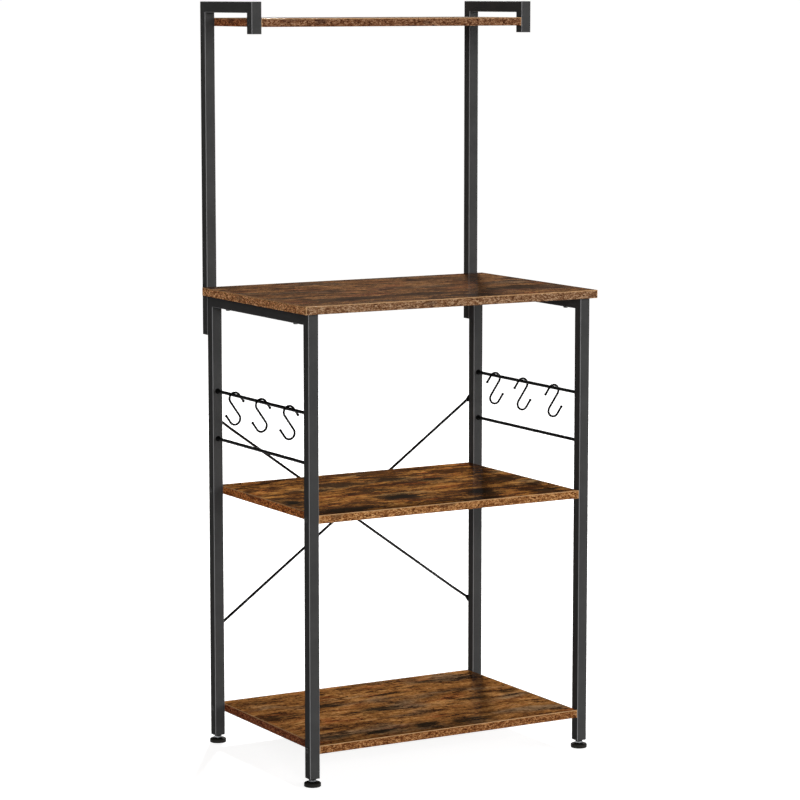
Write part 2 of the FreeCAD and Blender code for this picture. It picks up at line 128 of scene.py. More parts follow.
def span(tree, value, low, high, new_low=0.0, new_high=1.0):
    """Stretches the range from low to high to a new one, and cuts off what lies outside."""
    limits = {"From Min": low, "From Max": high, "To Min": new_low, "To Max": new_high}
    return add_node(tree, "MapRange", {"Value": value, **limits}).outputs[0]


def blend(tree, share, a, b, kind="MIX"):
    """Goes from colour a to colour b with the share. A Mix node has its colours at 6, 7 and 2."""
    sockets = {0: share, 6: a, 7: b}
    return add_node(tree, "Mix", sockets, data_type="RGBA", blend_type=kind).outputs[2]


print("helpers for sums and blends ready")

# %% Helpers for patterns and colours
def stretch(tree, vector, cells):
    return add_node(tree, "Mapping", {"Vector": vector, "Scale": cells}).outputs[0]


def noise(tree, vector, cells, detail=3.0, roughness=0.55):
    """cells is how many humps lie on a metre, as one number or as one for each axis."""
    if isinstance(cells, tuple):
        vector, cells = stretch(tree, vector, cells), 1.0
    sockets = {"Vector": vector, "Scale": cells, "Detail": detail, "Roughness": roughness}
    return add_node(tree, "TexNoise", sockets).outputs[0]


def rgb(red, green, blue):
    """Linear colour for a socket, from the numbers of a colour picker."""
    shares = [number / 255 for number in (red, green, blue)]
    linear = [c / 12.92 if c < 0.04045 else ((c + 0.055) / 1.055) ** 2.4 for c in shares]
    return (*linear, 1.0)


def ramp(tree, value, *stops):
    made = add_node(tree, "ValToRGB", {0: value})
    band = made.color_ramp.elements
    (band[0].position, band[0].color), (band[1].position, band[1].color) = stops[0], stops[-1]
    for place, colour in stops[1:-1]:
        band.new(place).color = colour
    return made.outputs[0]


NOISE_RANGE = (0.3, 0.7)  # where nearly all of a noise lies
print("helpers for patterns and colours ready")

# %% [markdown]
# ## Effects as node groups
# An effect that several finishes share is kept in a node group with named sockets. The group
# only hands out values that change over the surface; the Principled BSDF stays in the material.

# %% Helpers that make groups and materials
SOCKETS = {"vector": "NodeSocketVector", "value": "NodeSocketFloat", "colour": "NodeSocketColor"}


def new_group(name, inputs, outputs):
    tree = bpy.data.node_groups.new(name, "ShaderNodeTree")
    for socket, kind in inputs.items():
        tree.interface.new_socket(socket, in_out="INPUT", socket_type=SOCKETS[kind])
    for socket, kind in outputs.items():
        tree.interface.new_socket(socket, in_out="OUTPUT", socket_type=SOCKETS[kind])
    into, out = tree.nodes.new("NodeGroupInput"), tree.nodes.new("NodeGroupOutput")
    return tree, into.outputs, out.inputs


def use_group(tree, group, **sockets):
    return add_node(tree, "Group", sockets, node_tree=group).outputs


def new_material(name):
    """Material with an empty graph but for its Principled BSDF, and the object coordinates."""
    material = bpy.data.materials.new(name)
    material.use_nodes = True
    tree = material.node_tree
    shader = next(item for item in tree.nodes if item.type == "BSDF_PRINCIPLED")
    return material, tree, shader, add_node(tree, "TexCoord").outputs["Object"]


def bump(tree, shader, height, depth):
    made = add_node(tree, "Bump", {"Strength": 1.0, "Distance": depth, "Height": height})
    tree.links.new(made.outputs[0], shader.inputs["Normal"])


print("group and material helpers ready")

# %% [markdown]
# ## Fine grain for coats and plastics
# Powder coat dries with a fine orange peel, and moulded plastic has the faint tooth of its
# mould. Both are small bumps of one size under slow, cloudy changes of tone. One group gives
# both, and each finish sets the size of its bumps. Real displacement would need millions of
# faces for bumps this small, so they go to the Bump node.

# %% The fine grain group
CLOUDS = 22.0  # per metre
CLOUD_SHARE, PEEL_SHARE, MOTTLE_RANGE = 0.6, 0.4, (0.36, 0.64)
fine_grain, into, out = new_group("fine_grain", {"Vector": "vector", "Size": "value"},
                                  {"Shade": "value", "Peel": "value"})
tree = fine_grain
peel = noise(tree, into["Vector"], calc(tree, "DIVIDE", 1.0, into["Size"]), 2.0, 0.5)
cloud = noise(tree, into["Vector"], CLOUDS, 4.0, 0.6)
mottle = add_up(tree, (cloud, CLOUD_SHARE), (peel, PEEL_SHARE))
tree.links.new(span(tree, mottle, *MOTTLE_RANGE), out["Shade"])
tree.links.new(peel, out["Peel"])
print("group", tree.name, "with", len(tree.nodes), "nodes")

# %% [markdown]
# ## Painted corner highlights
# The corners of the tubes get a paler colour, a painted highlight where a lamp would catch the
# rounding, and a lower roughness, so that they shine where the flat sides stay matt. On a flat
# side the normal has one part that counts, on a rounded corner it has two, and their product
# tells the corners from the rest. Only the middle of the rounding counts, so that the painted
# highlight stays a thin line.

# %% The painted corner highlight group
CORNER_RANGE = (0.36, 0.47)  # the product is 0.5 in the middle of a rounding
painted_corner_highlight, into, out = new_group("painted_corner_highlight", {"Normal": "vector"}, {"Corner": "value"})
tree = painted_corner_highlight
axes = add_node(tree, "SeparateXYZ", {0: into["Normal"]}).outputs
products = [calc(tree, "MULTIPLY", axes[a], axes[b]) for a, b in ("XY", "XZ", "YZ")]
both = add_up(tree, *((calc(tree, "ABSOLUTE", product), 1.0) for product in products))
tree.links.new(span(tree, both, *CORNER_RANGE), out["Corner"])
print("group", tree.name, "with", len(tree.nodes), "nodes")

# %% [markdown]
# ## Black coats, plastics and zinc
# The tubes are powder coated matt black. The thin rods, braces and hooks are dipped and look
# almost pure black, the braces with a line of shine. The bolts are black oxide, the pads and
# plugs are moulded in black plastic, and the collars of the feet are zinc plate. The zinc is
# spotted dark and bright: partly its plating, partly painted dark reflections of the leg and pad
# and painted glints. They differ in tone, gloss and the size of their grain, so one function
# mixes them all, with or without painted corner highlights.

# %% Finishes made from the fine grain
COATS = {  # dark and light tone, size and depth of the bumps in metres, roughness, gloss level
    "black_powder_coat": (rgb(62, 62, 62), rgb(70, 70, 70), 0.0011, 0.00003, (0.82, 0.94), 0.10),
    "rod_coat": (rgb(7, 7, 7), rgb(13, 13, 13), 0.0008, 0.00001, (0.40, 0.52), 0.04),
    "brace_coat": (rgb(8, 8, 8), rgb(14, 14, 14), 0.0008, 0.00001, (0.18, 0.28), 0.35),
    "hook_coat": (rgb(6, 6, 6), rgb(11, 11, 11), 0.0008, 0.00001, (0.24, 0.34), 0.06),
    "black_fasteners": (rgb(50, 50, 50), rgb(62, 62, 62), 0.0006, 0.00001, (0.46, 0.58), 0.10),
    "pad_plastic": (rgb(30, 29, 27), rgb(47, 46, 42), 0.0007, 0.00003, (0.50, 0.66), 0.10),
    "plug_plastic": (rgb(30, 30, 30), rgb(42, 42, 42), 0.0007, 0.00003, (0.45, 0.60), 0.4),
    # Zinc: the dark spots are partly painted reflections of the leg and pad, the bright ones partly
    # painted glints.
    "zinc_steel": (rgb(40, 42, 44), rgb(178, 180, 183), 0.0016, 0.00001, (0.14, 0.26), 0.5),
}
METALS = ("zinc_steel",)
# The pale corner colour is a painted highlight; the lower corner roughness is real gloss.
CORNER_HIGHLIGHT_PAINT = {"black_powder_coat": (rgb(146, 146, 148), 0.34)}  # colour and roughness of its corners


def grained_finish(name, dark, light, size, depth, gloss, level):
    material, tree, shader, place = new_material(name)
    grain = use_group(tree, fine_grain, Vector=place, Size=size)
    colour = blend(tree, grain["Shade"], dark, light)
    rough = span(tree, grain["Peel"], *NOISE_RANGE, *gloss)
    if name in CORNER_HIGHLIGHT_PAINT:
        highlight_colour, corner_rough = CORNER_HIGHLIGHT_PAINT[name]
        normal = add_node(tree, "TexCoord").outputs["Normal"]
        corner = use_group(tree, painted_corner_highlight, Normal=normal)["Corner"]
        # Painted highlight: the corners get a paler colour where a lamp would catch the rounding.
        colour = blend(tree, corner, colour, highlight_colour)
        rough = add_node(tree, "Mix", {0: corner, 2: rough, 3: corner_rough}).outputs[0]
    tree.links.new(colour, shader.inputs["Base Color"])
    tree.links.new(rough, shader.inputs["Roughness"])
    shader.inputs["Specular IOR Level"].default_value = level
    shader.inputs["Metallic"].default_value = float(name in METALS)
    bump(tree, shader, grain["Peel"], depth)
    return material


finishes = {name: grained_finish(name, *values) for name, values in COATS.items()}
print(len(finishes), "finishes from one group")

# %% [markdown]
# ## Rustic board: the printed face
# The boards are faced with a print of old timber. The grain runs along the rack's width, in
# brown and orange streaks with greyer stretches between them. A noise texture that is stretched
# along the grain gives streaks. Several of them, from broad to fine, add up to timber, and a
# slow noise bends them all so that none is ruled straight. Rust-red stretches, dark stains and
# small flecks go over the sum one by one, each where its own noise runs high. An image of real
# wood would do it too, but it would repeat and blur close up.

# %% The rustic grain group: bent streaks
rustic_grain, into, out = new_group(
    "rustic_grain", {"Vector": "vector", "Seed": "value", "Grey": "value", "Stain": "value"},
    {"Color": "colour", "Fibre": "value"})
BENDS, DRIFT = 9.0, 0.03  # bends per metre, and how far they go sideways in metres
GRAIN = {  # humps per metre on each axis, and the share in the tone
    "zones": ((4.0, 14.0, 4.0), 0.16),
    "blots": ((12.0, 50.0, 12.0), 0.27),
    "patches": ((34.0, 110.0, 34.0), 0.23),
    "grit": ((160.0, 120.0, 160.0), 0.24),
    "fibres": ((90.0, 900.0, 90.0), 0.12),
}
TONE_RANGE = (0.425, 0.56)

tree = rustic_grain
seed = add_node(tree, "CombineXYZ", {axis: into["Seed"] for axis in "XYZ"}).outputs[0]
start = vector_calc(tree, "ADD", into["Vector"], seed)
drift = calc(tree, "SUBTRACT", noise(tree, start, BENDS, 2.0), 0.5)
drift = add_node(tree, "CombineXYZ", {"Y": calc(tree, "MULTIPLY", drift, DRIFT)}).outputs[0]
bent = vector_calc(tree, "ADD", start, drift)
layers = {name: noise(tree, bent, cells, 6.0, 0.74) for name, (cells, share) in GRAIN.items()}
tone = add_up(tree, *((layers[name], share) for name, (cells, share) in GRAIN.items()))
tone = span(tree, tone, *TONE_RANGE)
print(len(layers), "layers of streaks")

# %% The rustic grain group: colours, stains and flecks
RUST, RUST_SHARE = rgb(226, 176, 160), 0.7
STAINED, STAIN_SHARE = (0.24, 0.19, 0.15, 1), 0.95
FLECK, FLECK_SHARE = rgb(34, 18, 8), 0.8

brown = ramp(tree, tone, (0.0, rgb(42, 21, 8)), (0.25, rgb(88, 50, 19)),
             (0.5, rgb(124, 78, 35)), (0.75, rgb(148, 97, 46)), (1.0, rgb(180, 126, 70)))
grey = ramp(tree, tone, (0.0, rgb(36, 27, 18)), (0.5, rgb(96, 69, 43)), (1.0, rgb(148, 113, 76)))
worn = span(tree, noise(tree, bent, (6.0, 15.0, 6.0), 2.0), 0.46, 0.34)
worn = add_node(tree, "Clamp", {0: calc(tree, "ADD", worn, into["Grey"])}).outputs[0]
colour = blend(tree, worn, brown, grey)
rusty = noise(tree, bent, (10.0, 28.0, 10.0), 3.0)
rusty = span(tree, rusty, 0.54, 0.66, 0.0, RUST_SHARE)
colour = blend(tree, rusty, colour, RUST, "MULTIPLY")
stain = calc(tree, "ADD", noise(tree, bent, (13.0, 40.0, 13.0), 7.0, 0.74), into["Stain"])
stain = span(tree, stain, 0.55, 0.60, 0.0, STAIN_SHARE)
colour = blend(tree, stain, colour, STAINED, "MULTIPLY")
flecks = noise(tree, bent, (95.0, 105.0, 95.0), 4.0, 0.70)
flecks = span(tree, flecks, 0.58, 0.64, 0.0, FLECK_SHARE)
colour = blend(tree, flecks, colour, FLECK)
tree.links.new(colour, out["Color"])
tree.links.new(layers["fibres"], out["Fibre"])
print("group", tree.name, "with", len(tree.nodes), "nodes")

# %% [markdown]
# ## Rustic board: burnt marks
# What makes the print look old are the burnt marks: dark olive patches, a few centimetres long,
# that lie along the grain and end in ragged tongues. They are too few to leave to chance, so
# each is listed with its place and size. A mark is a stretched distance from its middle, and
# noise pushes its border in and out.

# %% The burnt mark group
TONGUES, PUSH = (24.0, 85.0, 24.0), 3.4  # tongues per metre, and how far they reach
FADE = (1.2, 0.45)  # distance at which a mark starts and at which it is full, in its own sizes
burnt_mark, into, out = new_group(
    "burnt_mark", {"Vector": "vector", "Middle": "vector", "Size": "vector"}, {"Mark": "value"})
tree = burnt_mark
away = vector_calc(tree, "SUBTRACT", into["Vector"], into["Middle"])
far = vector_calc(tree, "LENGTH", vector_calc(tree, "DIVIDE", away, into["Size"]))
ragged = calc(tree, "SUBTRACT", noise(tree, into["Vector"], TONGUES, 7.0, 0.78), 0.5)
far = calc(tree, "ADD", far, calc(tree, "MULTIPLY", ragged, PUSH))
tree.links.new(span(tree, far, *FADE), out["Mark"])
print("group", tree.name, "with", len(tree.nodes), "nodes")

# %% [markdown]
# ## Rustic board: the edge band
# Narrow bands cover the cut edges of the boards. Their print looks like pressed chips: short
# flakes of tan and red brown that lie along the edge. Voronoi cells with a random tone each are
# flakes, once stretched, and a rough noise over them frays their borders. The edges run along X
# at the front and along Y at the ends, and X + Y serves for both, since the other one stands
# still there.

# %% The edge chips group
CHIPS = ((270.0, 500.0, 1.0), (620.0, 1000.0, 1.0))  # per metre along and up the edge
CHIP_SHARE, FLOW_SHARE, KNOT_SHARE = 0.20, 0.60, 0.6
edge_chips, into, out = new_group("edge_chips", {"Vector": "vector", "Seed": "value"},
                                  {"Color": "colour"})
tree = edge_chips
axes = add_node(tree, "SeparateXYZ", {0: into["Vector"]}).outputs
along = calc(tree, "ADD", calc(tree, "ADD", axes["X"], axes["Y"]), into["Seed"])
flat = add_node(tree, "CombineXYZ", {"X": along, "Y": axes["Z"]}).outputs[0]
bits = []
for cells in CHIPS:
    flakes = add_node(tree, "TexVoronoi", {"Vector": stretch(tree, flat, cells), "Scale": 1.0})
    flake_tone = add_node(tree, "SeparateColor", {0: flakes.outputs["Color"]}).outputs[0]
    bits.append((flake_tone, CHIP_SHARE))
flow = noise(tree, flat, (120.0, 330.0, 1.0), 6.0, 0.75)
pressed = ramp(tree, add_up(tree, *bits, (flow, FLOW_SHARE)), (0.34, rgb(58, 27, 11)),
               (0.45, rgb(122, 78, 45)), (0.55, rgb(166, 120, 77)), (0.66, rgb(218, 177, 128)))
knots = span(tree, noise(tree, flat, (13.0, 40.0, 1.0), 1.0), 0.62, 0.70, 0.0, KNOT_SHARE)
tree.links.new(blend(tree, knots, pressed, rgb(70, 50, 38)), out["Color"])
print("group", tree.name, "with", len(tree.nodes), "nodes")

# %% [markdown]
# ## Rustic board: where face and edge meet
# Face and band are one solid here, so the material has to tell them apart. The distance of a
# point to the sides of the board's box does it. No distance is the edge band. A hair's breadth
# is the softened arris. Along the upper edge and down the corners it gets a pale colour, a
# painted highlight where light would catch the rounding. The next millimetre of the face is the
# darker line of the trimmed print.

# %% The board zones group
ARRIS = 0.0008  # metres that the edges of a board are softened by
ON_THE_SIDE, BY_THE_SIDE = (0.5 * ARRIS, 0.3 * ARRIS), (ARRIS, 0.9 * ARRIS)
HIGHLIGHT_WIDTH, RIM_WIDTH = (2.0 * ARRIS, 1.6 * ARRIS), (2.6 * ARRIS, 1.1 * ARRIS)
board_zones, into, out = new_group(
    "board_zones", {"Vector": "vector", "Low": "vector", "High": "vector"},
    {"Edge": "value", "End": "value", "Arris_Highlight": "value", "Rim": "value"})
tree = board_zones
up = vector_calc(tree, "SUBTRACT", into["Vector"], into["Low"])
down = vector_calc(tree, "SUBTRACT", into["High"], into["Vector"])
depth = add_node(tree, "SeparateXYZ", {0: vector_calc(tree, "MINIMUM", up, down)}).outputs
from_top = add_node(tree, "SeparateXYZ", {0: down}).outputs["Z"]
inward = calc(tree, "MINIMUM", depth["X"], depth["Y"])
from_corner = calc(tree, "MAXIMUM", depth["X"], depth["Y"])
# Painted highlight: a pale line along the upper edge of the band, where light would catch the arris.
upper_edge_highlight = calc(tree, "MULTIPLY", span(tree, inward, *BY_THE_SIDE),
                  span(tree, from_top, *HIGHLIGHT_WIDTH))
arris = calc(tree, "MAXIMUM", upper_edge_highlight, span(tree, from_corner, *HIGHLIGHT_WIDTH))
tree.links.new(span(tree, inward, *ON_THE_SIDE), out["Edge"])
tree.links.new(span(tree, depth["X"], *ON_THE_SIDE), out["End"])
tree.links.new(arris, out["Arris_Highlight"])
tree.links.new(span(tree, inward, *RIM_WIDTH), out["Rim"])
print("group", tree.name, "with", len(tree.nodes), "nodes")

# %% [markdown]
# ## A material for each board
# No two boards are cut from the same stretch of print, so each gets its own seed, its own share
# of grey and stain, its own burnt marks, and a tint for the face, for the long edges and for the
# ends. The tints were matched to the boards as these lamps light them, so they paint light too:
# the ends are mostly tinted paler than the long edges to make up for the weak light from the
# sides, and the face of the middle shelf is brightened against the shade under the counter. The
# coat is a smooth, hard melamine with a faint mirror at a flat angle, so its gloss level stays
# low and the dark marks stay dark.

# %% What the boards differ in
# The end tints are painted light for the weak side light; the middle shelf's face tint is painted
# light against the counter's shade.
BOARDS = {  # seed, grey, stain, then the tints of the face, of the long edges and of the ends
    "counter_board": (1.30, 0.25, 0.04,
                      (1.12, 1.16, 1.37), (0.72, 0.78, 0.98), (2.13, 1.97, 2.01)),
    "middle_shelf": (4.70, 0.0, 0.09,
                     (1.50, 1.54, 1.35), (0.95, 0.86, 0.74), (1.86, 1.23, 0.79)),
    "bottom_shelf": (8.20, 0.0, 0.02,
                     (1.21, 1.29, 1.47), (0.72, 0.60, 0.51), (0.91, 0.54, 0.49)),
    "top_shelf": (12.60, 0.1, 0.01,
                  (0.93, 1.01, 1.26), (0.59, 0.55, 0.66), (1.30, 0.91, 0.89)),
}
MARKS = {  # x, y, half length, half width in millimetres, strength
    "counter_board": [(-180, -131, 65, 32, 0.75), (195, -91, 55, 30, 0.8), (60, -171, 60, 25, 0.75),
                      (-260, 159, 40, 25, 0.6), (-20, -121, 50, 28, 0.7), (175, 114, 90, 35, 0.4)],
    "middle_shelf": [(-50, -97, 40, 34, 0.95), (-55, -10, 26, 18, 0.95), (105, -122, 30, 34, 0.95),
                     (105, 45, 24, 18, 0.9), (225, -17, 34, 24, 0.8), (30, 85, 34, 30, 0.8),
                     (-250, -62, 24, 28, 1.0), (-200, -172, 60, 20, 0.9), (225, -162, 26, 16, 0.85)],
    "bottom_shelf": [(-45, -12, 40, 20, 0.9), (35, 85, 32, 7, 0.8), (155, 140, 36, 8, 0.7),
                     (145, -22, 32, 13, 0.8), (240, -7, 18, 13, 0.7), (-215, -157, 32, 16, 0.8),
                     (-130, -162, 32, 13, 0.85), (-25, -157, 28, 24, 0.85), (60, -162, 36, 22, 0.9),
                     (-225, 33, 36, 28, 0.6), (-120, 58, 26, 15, 0.7), (-230, 143, 26, 13, 0.6)],
    "top_shelf": [(-160, 90, 45, 18, 0.8), (40, 120, 60, 22, 0.7), (190, 60, 35, 20, 0.8)],
}
print(sum(len(marks) for marks in MARKS.values()), "marks on", len(BOARDS), "boards")

# %% The four board finishes
ARRIS_HIGHLIGHT, TRIM_LINE, BURNT = rgb(206, 164, 118), rgb(32, 20, 11), rgb(19, 16, 8)
ARRIS_HIGHLIGHT_SHARE, TRIM_SHARE = 0.7, 0.55
MM, MARK_STRETCH, MARK_DEPTH = 0.001, 1.3, 0.2  # stretched along the grain; depth in metres
FACE_ROUGH, EDGE_ROUGHER, BOARD_LEVEL, FIBRE_DEPTH = (0.14, 0.24), 0.40, 0.025, 0.00001


def board_finish(node, seed, greyness, stain, face_tint_and_light, edge_tint, end_light_tint):
    material, tree, shader, place = new_material("rustic_" + node)
    low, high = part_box(node)
    zones = use_group(tree, board_zones, Vector=place, Low=low, High=high)
    grain = use_group(tree, rustic_grain, Vector=place, Seed=seed, Grey=greyness, Stain=stain)
    chips = use_group(tree, edge_chips, Vector=place, Seed=seed)
    # The face tint is partly the print's own tone and partly painted light.
    face = blend(tree, 1.0, grain["Color"], (*face_tint_and_light, 1), "MULTIPLY")
    for x, y, length, width, strength in MARKS[node]:
        spot = use_group(tree, burnt_mark, Vector=place, Middle=(x * MM, y * MM, high[2]),
                         Size=(MARK_STRETCH * length * MM, width * MM, MARK_DEPTH))
        face = blend(tree, calc(tree, "MULTIPLY", spot["Mark"], strength), face, BURNT)
    face = blend(tree, calc(tree, "MULTIPLY", zones["Rim"], TRIM_SHARE), face, TRIM_LINE)
    # Painted light: the ends get their own, mostly paler tint for the weak light from the sides.
    tint = blend(tree, zones["End"], (*edge_tint, 1), (*end_light_tint, 1))
    band = blend(tree, 1.0, chips["Color"], tint, "MULTIPLY")
    colour = blend(tree, zones["Edge"], face, band)
    # Painted highlight along the upper arris and down the corners of the band.
    colour = blend(tree, calc(tree, "MULTIPLY", zones["Arris_Highlight"], ARRIS_HIGHLIGHT_SHARE), colour, ARRIS_HIGHLIGHT)
    tree.links.new(colour, shader.inputs["Base Color"])
    rough = span(tree, grain["Fibre"], *NOISE_RANGE, *FACE_ROUGH)
    rough = calc(tree, "ADD", rough, calc(tree, "MULTIPLY", zones["Edge"], EDGE_ROUGHER))
    tree.links.new(rough, shader.inputs["Roughness"])
    shader.inputs["Specular IOR Level"].default_value = BOARD_LEVEL
    bump(tree, shader, grain["Fibre"], FIBRE_DEPTH)
    return material


board_finishes = {node: board_finish(node, *values) for node, values in BOARDS.items()}
print(len(board_finishes), "board finishes")

# %% [markdown]
# ## Dress the solids
# Every solid came with a plain stand-in material that bears the name of its finish. Its slot
# takes the new material, and the mesh itself stays as it is. Rods and braces stand in as powder
# coat like the tubes, so they are told apart by their names.

# %% Put the finishes on
for name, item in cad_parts.items():
    for slot in item.material_slots:
        if name in BOARDS:
            slot.material = board_finishes[name]
        elif name.endswith(("_rod", "_brace")):
            slot.material = finishes[name.split("_")[-1] + "_coat"]
        else:
            slot.material = finishes[slot.material.name.split(".")[0]]
print("dressed", len(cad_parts), "solids")

# %% [markdown]
# ## Threaded studs
# Each foot turns on a stud with an M8 thread, and the thread shows when the foot is wound out.
# The thread is a small V that the Screw modifier winds up around the axis. The two long borders
# of that ribbon meet turn by turn, so merging them closes the surface, and two flat cuts end it.
# A displaced cylinder would be quicker, but its thread would be rings instead of one spiral.

# %% Draw the V of the thread
PITCH, STUD_RADIUS, THREAD_DEPTH = 0.00125, 0.004, 0.00077
COLLAR_LOW, COLLAR_HIGH = 0.007, 0.0125
OVERLAP = 0.001  # metres that the thread and the shank reach into the collar
SPARE_TURNS = 2  # at each end, to be cut off
stud_low, stud_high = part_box("left_front_foot_stud")
stud_x, stud_y = (stud_low[0] + stud_high[0]) / 2, (stud_low[1] + stud_high[1]) / 2
thread_low, thread_high = COLLAR_HIGH - OVERLAP, stud_high[2]

bpy.ops.mesh.primitive_circle_add(vertices=4, radius=PITCH / 2, rotation=(math.pi / 2, 0, 0),
                                  location=(stud_x, stud_y, thread_low - SPARE_TURNS * PITCH))
stud = bpy.context.object
bpy.ops.object.transform_apply(location=False, rotation=True, scale=True)
bpy.ops.object.mode_set(mode="EDIT")
bpy.ops.mesh.select_mode(type="VERT")
net = bmesh.from_edit_mesh(stud.data)
for vert in net.verts:
    vert.select = vert.co.x < -PITCH / 4
bmesh.update_edit_mesh(stud.data)
bpy.ops.mesh.delete(type="VERT")
bpy.ops.mesh.select_all(action="SELECT")
bpy.ops.transform.resize(value=(THREAD_DEPTH / (PITCH / 2), 1, 1), center_override=stud.location)
bpy.ops.transform.translate(value=(STUD_RADIUS - THREAD_DEPTH, 0, 0))
bpy.ops.object.mode_set(mode="OBJECT")
print("V of", len(stud.data.vertices), "points")

# %% Wind the thread and cut it to length
THREAD_STEPS, MERGE = 24, 0.00001
winding = stud.modifiers.new("winding", "SCREW")
winding.screw_offset = PITCH
winding.iterations = math.ceil((thread_high - thread_low) / PITCH) + 2 * SPARE_TURNS
winding.steps = winding.render_steps = THREAD_STEPS
bpy.ops.object.modifier_apply(modifier="winding")
bpy.ops.object.transform_apply(location=True, rotation=True, scale=True)
bpy.ops.object.mode_set(mode="EDIT")
bpy.ops.mesh.select_all(action="SELECT")
bpy.ops.mesh.remove_doubles(threshold=MERGE)
for height, above in ((thread_low, False), (thread_high, True)):
    bpy.ops.mesh.select_all(action="SELECT")
    bpy.ops.mesh.bisect(plane_co=(stud_x, stud_y, height), plane_no=(0, 0, 1), use_fill=True,
                        clear_inner=not above, clear_outer=above)
bpy.ops.mesh.select_all(action="SELECT")
bpy.ops.mesh.normals_make_consistent(inside=False)
bpy.ops.object.mode_set(mode="OBJECT")
print("thread of", len(stud.data.polygons), "faces up to", round(thread_high, 4), "m")

# %% [markdown]
# ## Collar and shank
# Below the thread sits a hexagonal collar for the spanner, and a short shank goes down into the
# pad. Both are cylinders: one with six sides and softened edges, one round with its ends eased.
# The finished stud is copied to the other three feet.

# %% Add the collar and the shank
HEXAGON, ROUND = 6, 32  # sides
COLLAR_RADIUS, LEVEL = 0.0075, 0.0001  # an edge that rises by less than LEVEL counts as level
CYLINDERS = (  # sides, radius, low and high end, turn, and how far the edges are softened
    (HEXAGON, COLLAR_RADIUS, COLLAR_LOW, COLLAR_HIGH, math.pi / 6, 0.0005),
    (ROUND, STUD_RADIUS, stud_low[2], COLLAR_LOW + OVERLAP, 0, 0.0003),
)
pieces = [stud]
for sides, radius, low, high, turn, soft in CYLINDERS:
    bpy.ops.mesh.primitive_cylinder_add(vertices=sides, radius=radius, depth=high - low,
                                        rotation=(0, 0, turn),
                                        location=(stud_x, stud_y, (low + high) / 2))
    piece = bpy.context.object
    bpy.ops.object.transform_apply(location=True, rotation=True, scale=True)
    bpy.ops.object.mode_set(mode="EDIT")
    net = bmesh.from_edit_mesh(piece.data)
    bpy.ops.mesh.select_mode(type="EDGE")
    for edge in net.edges:
        one, other = edge.verts
        edge.select = sides == HEXAGON or abs(one.co.z - other.co.z) < LEVEL
    bmesh.update_edit_mesh(piece.data)
    bpy.ops.mesh.bevel(offset=soft, segments=2, affect="EDGES")
    bpy.ops.object.mode_set(mode="OBJECT")
    pieces.append(piece)

for piece in pieces:
    piece.select_set(True)
bpy.context.view_layer.objects.active = stud
bpy.ops.object.join()
bpy.ops.object.shade_smooth_by_angle(angle=math.radians(30))
stud.name = "left_front_threaded_stud"
stud.data.materials.append(finishes["zinc_steel"])
print("stud of", len(stud.data.polygons), "faces")

# %% Copy the stud to the other feet
def copy_piece(piece, name, move):
    """A copy with a mesh of its own. The move goes into the mesh, the object stays at the origin."""
    bpy.ops.object.select_all(action="DESELECT")
    piece.select_set(True)
    bpy.context.view_layer.objects.active = piece
    bpy.ops.object.duplicate(linked=False)
    made = bpy.context.object
    made.name, made.location = name, move
    bpy.ops.object.transform_apply(location=True, rotation=False, scale=False)
    return made


studs = {"left_front": stud}
for foot in ("left_rear", "right_front", "right_rear"):
    low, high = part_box(foot + "_foot_stud")
    move = ((low[0] + high[0]) / 2 - stud_x, (low[1] + high[1]) / 2 - stud_y, 0)
    studs[foot] = copy_piece(stud, foot + "_threaded_stud", move)
for foot, item in studs.items():
    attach(item, foot + "_foot")
    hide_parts(foot + "_foot_stud")
print(len(studs), "studs")

# %% [markdown]
# ## Weld beads
# The hook rods are welded to the legs all around. A weld bead is a ring with the ripples that
# the welder's small circles leave, and the coat of the rod covers it. A torus gives the ring,
# and some of its rows pushed out and in give the ripples. Half of it sinks into the leg and the
# rod, as a weld does.

# %% Find the rod ends and make one bead
BEAD_RADIUS, BEAD_THICK, ROWS, ROW_POINTS = 0.0038, 0.0012, 40, 12
RIPPLES = ((4, 1.05), (7, 0.965))  # every so many rows, pushed out or in by so much
SWELL = 1.1  # the push along the rod
rod_ends = {}
for side in ("left", "right"):
    for level in ("upper", "lower"):
        low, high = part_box(f"{side}_{level}_hook_rod")
        for end, y in (("front", low[1]), ("rear", high[1])):
            place = Vector(((low[0] + high[0]) / 2, y, (low[2] + high[2]) / 2))
            rod_ends[f"{side}_{level}_{end}_weld"] = place

first, *others = rod_ends
middle = rod_ends[first]
bpy.ops.mesh.primitive_torus_add(location=middle, rotation=(math.pi / 2, 0, 0),
                                 major_segments=ROWS, minor_segments=ROW_POINTS,
                                 major_radius=BEAD_RADIUS, minor_radius=BEAD_THICK)
bead = bpy.context.object
bead.name = first
bpy.ops.object.transform_apply(location=True, rotation=True, scale=True)
bpy.ops.object.mode_set(mode="EDIT")
bpy.ops.mesh.select_mode(type="VERT")
net = bmesh.from_edit_mesh(bead.data)
for step, push in RIPPLES:
    for vert in net.verts:
        turn = math.atan2(vert.co.z - middle.z, vert.co.x - middle.x) / (2 * math.pi)
        vert.select = round(turn * ROWS) % step == 0
    bmesh.update_edit_mesh(bead.data)
    bpy.ops.transform.resize(value=(push, SWELL, push), center_override=middle)
bpy.ops.object.mode_set(mode="OBJECT")
bpy.ops.object.shade_smooth()
bead.data.materials.append(finishes["rod_coat"])
print("bead of", len(bead.data.polygons), "faces")

# %% Copy the bead to the other rod ends
beads = [bead] + [copy_piece(bead, name, rod_ends[name] - middle) for name in others]
for item in beads:
    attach(item, "rack")
print(len(beads), "weld beads")

